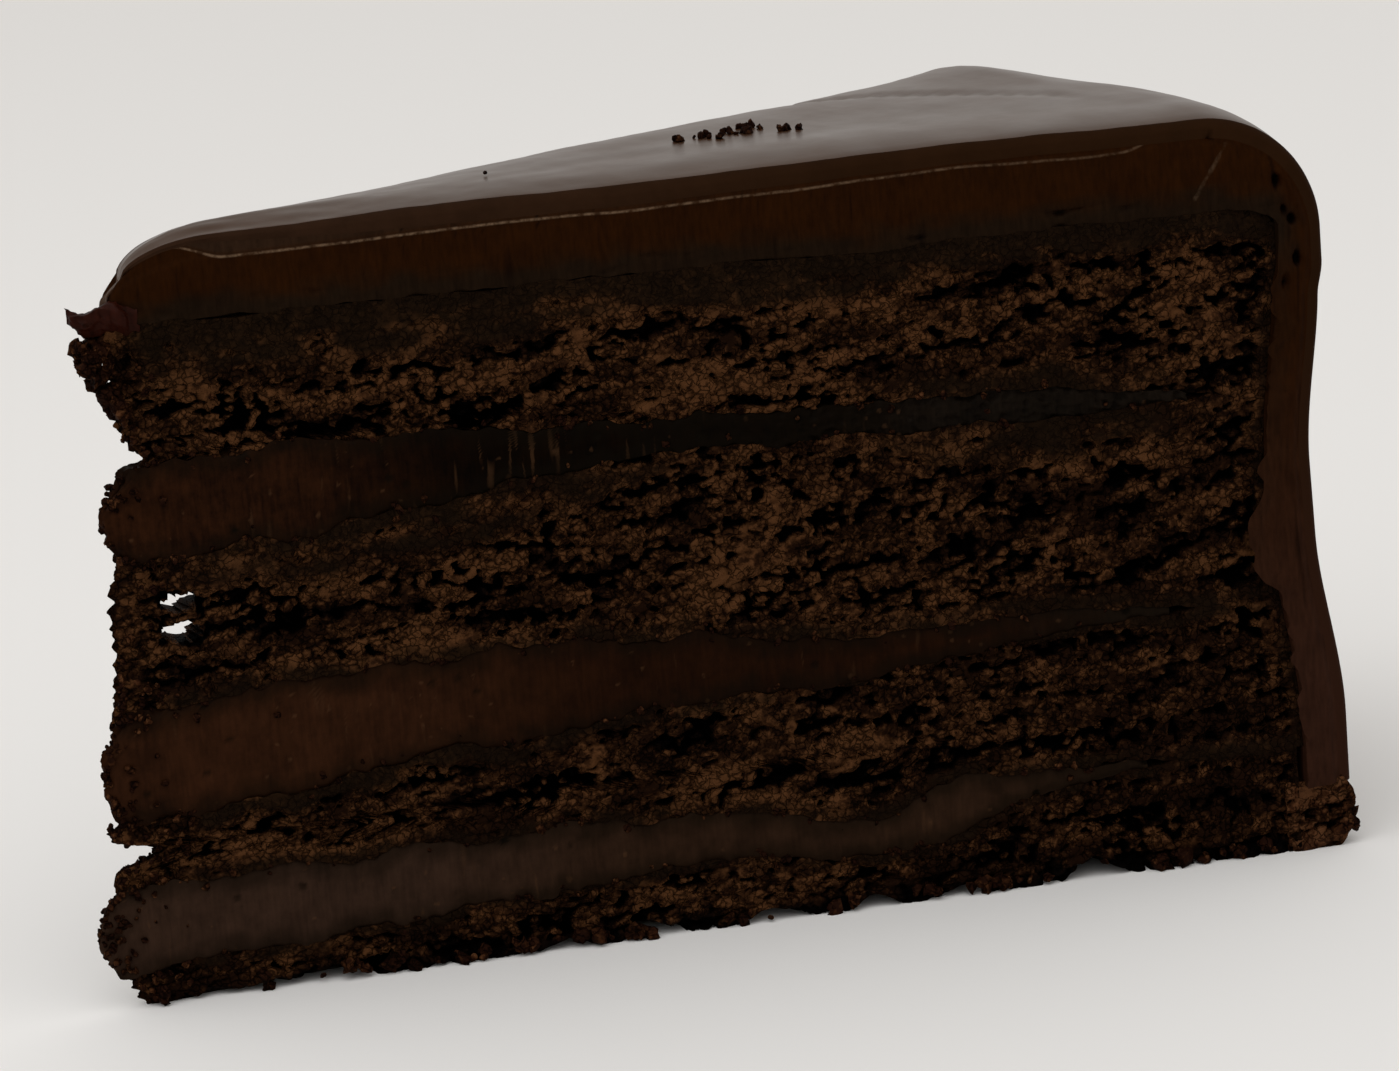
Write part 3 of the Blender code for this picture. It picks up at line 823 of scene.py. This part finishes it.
# ---- The crumb foot ----
# Sponge crumbs, rubbed off the trimmed layers and pressed by hand round the bottom of the side
# coat while the ganache was soft. They make a knobbly, lighter band that stands a little proud.
FOOT_DEPTH = 5.6 * MM


def foot_band(cells):
    """The band: a block bent round the rim, its outside and top packed from grains."""
    (along, across, up), faces, spots, _ = box_skin(cells, (0.02, 0.40, 0.12, 0.12, 0.12, 0.22))
    z = FOOT_HEIGHT * up
    outer = CAKE_RADIUS + 0.3 * MM * np.sin(math.pi * up) - 1.4 * MM * (1 - up) ** 3 - 1.2 * MM * up ** 6
    r = mix(CAKE_RADIUS - FOOT_DEPTH - 1.0 * MM, outer, along)
    half = r * math.sin(HALF_ANGLE)
    points = in_slice(r, across, across * half, z)
    solid, distance, owner = crumb_field(points, np.full(len(points), 0.12))
    clumps = 0.9 * lumps(points, 3.4, 101) + 0.35 * lumps(points, 1.3, 102)
    swell = 0.25 + clumps + 0.45 * (0.6 - distance) - 0.9 * np.clip(-2 * solid, 0, 1)
    outside = (along == 1) | (up == 1)
    depth = np.zeros(len(points))
    for face, inward in cut_sides(across):
        deepest = np.full(len(face), 1.6 * MM)
        depth[face], owner[face] = crumb_depth(points[face], inward, deepest, np.full(len(face), 0.1))
        points[face] += inward * (depth[face, None] - 0.2 * MM)
    turn = across * HALF_ANGLE
    away = at(np.cos(turn) * along, np.sin(turn) * along, up - 0.25)
    away /= np.linalg.norm(away, axis=1)[:, None] + 0.01
    points += away * (outside * swell * 0.55 * MM)[:, None]
    points[:, 2] = np.maximum(points[:, 2], 0)
    # Painted shade: the first tone darkens the open pores on the outside and the hollows on the cut sides
    pore_shade = np.where(outside, 1.1 * np.clip(-1.5 * solid, 0, 1), depth / MM)
    tones = (pore_shade / 3, 0.22 + 0.26 * owner + 0.3 * clumps, 0.25 * ramp(2, 0.5, z / MM))
    return new_piece("foot_of_crumbs", points, faces, spots, tones)


crumb_look = crumb_finish("pressed chocolate crumbs", "#1c0d07", "#341d0f", "#50331f", "#2b1b14", "#040201")
foot = foot_band((20, 190, 26))
foot.data.materials.append(crumb_look)
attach(foot, "root")
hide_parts("crumb_foot")

# ---- Loose and clinging crumbs ----
# What the knife rubbed off: crumbs that stick to the torn tip, to the wiped edges of the fillings
# and to the chipped bottom edges, and a few that fell on the poured top. Sponge, like the layers.

# Heights of each filling's and each layer's underside and top at the tip, in mm
TIP_ENDS = {1: (41.2, 49.6), 2: (17.2, 27.4), 3: (3.5, 11.1)}
TIP_LAYERS = {4: (0, 3.5), 3: (11.1, 17.2), 2: (27.4, 41.2), 1: (49.6, 62)}
# How many crumbs cling to the tip, to the lump under the icing there, to the bottom edges, to each
# border of a filling, and to the foot
TIP_CRUMBS, LUMP_CRUMBS, BOTTOM_CRUMBS, BORDER_CRUMBS, FOOT_CRUMBS = 480, 110, 130, 90, 110
# Crumbs that fell on the top: distance from the middle in mm, place across, and how many
FALLEN = ((63.4, 0.17, 7), (66.0, 0.20, 6), (68.5, 0.20, 5), (70.8, 0.23, 8), (72.0, 0.18, 4),
          (73.0, -0.04, 4), (74.5, -0.05, 3), (42.9, 0.05, 1), (66.8, 0.05, 3), (69.6, 0.10, 3))


def tip_front(z):
    """Distance of the slice's torn front end from the cake's middle, at a height."""
    heights, setbacks = [], []
    for index, (low, high) in TIP_LAYERS.items():
        heights += [low * MM, high * MM]
        setbacks += SPONGE_SETBACK[index]
    setback = np.interp(z, heights, setbacks)
    for height, half_height, depth in TIP_NOTCHES:
        setback = setback + depth * hump(height, half_height, z)
    for index, (low, high) in TIP_ENDS.items():
        bow = (2 * z / MM - low - high) / (high - low)
        setback = np.where(np.abs(bow) < 1, FILLING_SETBACK[index] + 1.8 * MM * bow ** 2, setback)
    return TIP_LEAN * z + setback


def on_slice(r, across, z, start=0.0):
    """Points on the slice, at a distance from the middle, across from -1 to 1, and at a height."""
    return in_slice(r, across, across * half_width(r, start), z)


def crumb_places(rng):
    """Where crumbs cling, and how large each one is."""
    spots, sizes = [], []

    def cling(places, smallest, largest):
        spots.append(places)
        sizes.append(rng.uniform(smallest, largest, len(places)))

    z = rng.uniform(0.4, 60, TIP_CRUMBS) * MM
    z = np.where(rng.random(TIP_CRUMBS) < 0.45, rng.uniform(0.4, 31, TIP_CRUMBS) * MM, z)
    front = tip_front(z)
    on_end = rng.random(TIP_CRUMBS) < 0.35
    across = np.where(on_end, rng.uniform(-1, 1, TIP_CRUMBS), rng.choice((-1.0, 1.0), TIP_CRUMBS))
    r = front + np.where(on_end, 0.1, rng.exponential(1.7, TIP_CRUMBS)) * MM
    cling(on_slice(r, across, z, front), 0.3, 0.85)
    z = rng.uniform(55, 62, LUMP_CRUMBS) * MM
    front = tip_front(z) - rng.uniform(0, 2.6, LUMP_CRUMBS) * MM * ramp(54, 60, z / MM)
    cling(on_slice(front, rng.uniform(-1, 1, LUMP_CRUMBS), z, front - 2 * MM), 0.5, 1.5)
    r = rng.uniform(3, 110, BOTTOM_CRUMBS) * MM
    across = rng.choice((-1.0, 1.0), BOTTOM_CRUMBS)
    cling(on_slice(r, across * 0.985, rng.uniform(0.3, 1.5, BOTTOM_CRUMBS) * MM), 0.5, 1.7)
    for index, (_, _, _, reach, _) in FILLINGS.items():
        for top_side in (0, 1):
            r = rng.uniform(4, reach - 4, BORDER_CRUMBS) * MM
            across = rng.choice((-1.0, 1.0), BORDER_CRUMBS)
            border = filling_sides(index, r, across)[top_side]
            z = border + rng.normal(0, 0.45, BORDER_CRUMBS) * MM
            inset = 1 - 0.25 * MM / half_width(r, 0.0)
            cling(on_slice(r, across * inset, z), 0.3, 0.85)
    turn = rng.uniform(-1, 1, FOOT_CRUMBS)
    up = rng.uniform(0.1, 1.05, FOOT_CRUMBS)
    cling(on_slice(CAKE_RADIUS - 1.0 * MM * up ** 4, turn, up * FOOT_HEIGHT), 0.5, 1.5)
    for r, across, count in FALLEN:
        r = (r + rng.normal(0, 0.5, count) * (count > 1)) * MM
        side = across + rng.normal(0, 0.025, count) * (count > 1)
        size = rng.uniform(0.35, 0.85, count)
        spots.append(on_slice(r, side, HEIGHT + (0.12 * size) * MM + swells(r, side)))
        sizes.append(size)
    return np.concatenate(spots), np.concatenate(sizes)


def crumb_beads(name, seed):
    """All the crumbs as one piece: small lumpy beads, each stretched and turned its own way."""
    rng = np.random.default_rng(seed)
    middles, sizes = crumb_places(rng)
    count = len(middles)
    bead = bmesh.new()
    bmesh.ops.create_icosphere(bead, subdivisions=2, radius=0.5)
    shape = np.array([vert.co[:] for vert in bead.verts])
    corners = np.array([[vert.index for vert in face.verts] for face in bead.faces])
    bead.free()
    stretch = rng.uniform(0.65, 1.25, (count, 1, 3))
    turns = np.linalg.qr(rng.normal(size=(count, 3, 3)))[0]
    turns *= np.sign(np.linalg.det(turns))[:, None, None]
    beads = (shape[None] * stretch) @ turns * sizes[:, None, None] * MM
    points = (middles[:, None] + beads).reshape(-1, 3)
    knob = lumps(points, 0.5, 111) + 0.6 * lumps(points, 0.25, 112)
    points += (beads * 0.85).reshape(-1, 3) * knob[:, None]
    points[:, 2] = np.maximum(points[:, 2], 0)
    faces = (corners[None] + len(shape) * np.arange(count)[:, None, None]).reshape(-1, 3)
    grown = points.max(0) - points.min(0)
    flat = (points - points.min(0)) / grown
    back = flat[faces].mean(1)[:, 1] > 0.5
    spots = np.stack((flat[faces][:, :, 0], flat[faces][:, :, 2] * 0.48 + back[:, None] * 0.5), -1)
    # Each bead has its own random tone. Its dents are painted darker and its knobs lighter, as painted
    # shade and light
    tone = np.repeat(rng.uniform(-0.15, 0.24, count), len(shape)) + 0.3 * knob
    tones = (np.clip(-0.35 * knob, 0, 0.2), tone, np.zeros(len(points)))
    return new_piece(name, points, [faces], [spots], tones)


crumbs = crumb_beads("clinging_crumbs", 12)
crumbs.data.materials.append(crumb_look)
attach(crumbs, "root")

# ---- The torn curl at the tip ----
# A rag of ganache that stuck to the knife, tore off the tip under the top coat, and was left
# sticking out as a short, moist, red-brown curl.


def torn_curl(cells):
    """The rag: a thin ragged strip that narrows and lifts towards its free end."""
    (along, across, up), faces, spots, _ = box_skin(cells, (0.04, 0.04, 0.1, 0.1, 0.36, 0.36))
    r = (7.6 - 6.1 * along) * MM
    wave = 0.55 * np.sin(along * 5.5 + 1.2 * across)
    z = (63.2 + 1.9 * along ** 2.5 - 0.9 * across * (1 - along) + wave) * MM
    ragged = at(r, across * MM, 0)
    width = 2.1 * (1 - 0.66 * along ** 1.7) * (1 + 0.5 * lumps(ragged, 1.3, 121)) * MM
    thickness = (4.2 - 3.2 * along) * (1 - 0.6 * across ** 2) * (up - 0.5) * MM
    points = at(r + AXIS_X, across * width - 0.5 * MM * along, z + thickness)
    knob = lumps(points, 1.1, 122) + 0.5 * lumps(points, 0.5, 123)
    points += 0.34 * MM * at(knob, np.roll(knob, 7), knob)
    # Where the knobs sink in they are painted darker, and the highest knobs paler: painted shade and light
    # on the relief
    tones = (np.clip(-0.8 * knob, 0, 1), np.zeros(len(r)), 0.4 + 0.4 * knob)
    return new_piece("torn_curl", points, faces, spots, tones)


curl = torn_curl((30, 18, 4))
curl_look = ("torn moist ganache", *["#250d07"] * 3, 0.36, 0.4, 1.10)
curl.data.materials.append(buttercream_finish(*curl_look))
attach(curl, "root")

# ---- Floor, light and camera ----
# A plain pale studio floor, a warm white room, one soft box over the tip end, and a long-lens camera
# that looks at the near cut side from a little above the cake, tilted a few degrees.
scene = bpy.context.scene
bpy.ops.mesh.primitive_plane_add(size=8)
floor = bpy.context.object
floor.name = "floor"
PAINT = {"Base Color": linear("#e7e7e7"), "Roughness": 0.9, "Specular IOR Level": 0.1}
floor.data.materials.append(new_finish("pale floor", PAINT)[0])

world = bpy.data.worlds.new("studio")
scene.world = world
world.use_nodes = True
background = world.node_tree.nodes["Background"]
background.inputs["Color"].default_value = linear("#fffbf6")
background.inputs["Strength"].default_value = 0.80

softbox = bpy.data.lights.new("top_softbox", "AREA")
softbox.size = 1.1
softbox.energy = 3.4
softbox_stand = bpy.data.objects.new("top_softbox", softbox)
softbox_stand.location = (-0.35, -0.30, 0.80)
down_to_cake = Vector((0, 0, 0.03)) - softbox_stand.location
softbox_stand.rotation_euler = down_to_cake.to_track_quat("-Z", "Y").to_euler()
scene.collection.objects.link(softbox_stand)

VIEW_DISTANCE = 500 * MM
ELEVATION = math.radians(13.25)
ROLL = math.radians(4.69)
CUT_TURN = math.radians(9.74) + HALF_ANGLE
# The point looked at, from the cake's middle and turned with the camera
AIM = Vector((56.14, 20.0, 35.40)) * MM
# In mm, as Blender's cameras take them
LENS = 136.934
SENSOR_WIDTH = 36.0
turn = Matrix.Rotation(-CUT_TURN, 3, "Z")
lean = Matrix.Rotation(math.pi / 2 - ELEVATION, 3, "X")
axes = turn @ lean @ Matrix.Rotation(-ROLL, 3, "Z")
place = Vector((AXIS_X, 0, 0)) + turn @ AIM + axes @ Vector((0, 0, VIEW_DISTANCE))
camera_data = bpy.data.cameras.new("camera")
camera = bpy.data.objects.new("camera", camera_data)
scene.collection.objects.link(camera)
camera_data.sensor_width = SENSOR_WIDTH
camera_data.lens = LENS
camera.matrix_world = Matrix.Translation(place) @ axes.to_4x4()
scene.camera = camera
scene.view_settings.view_transform = "Standard"
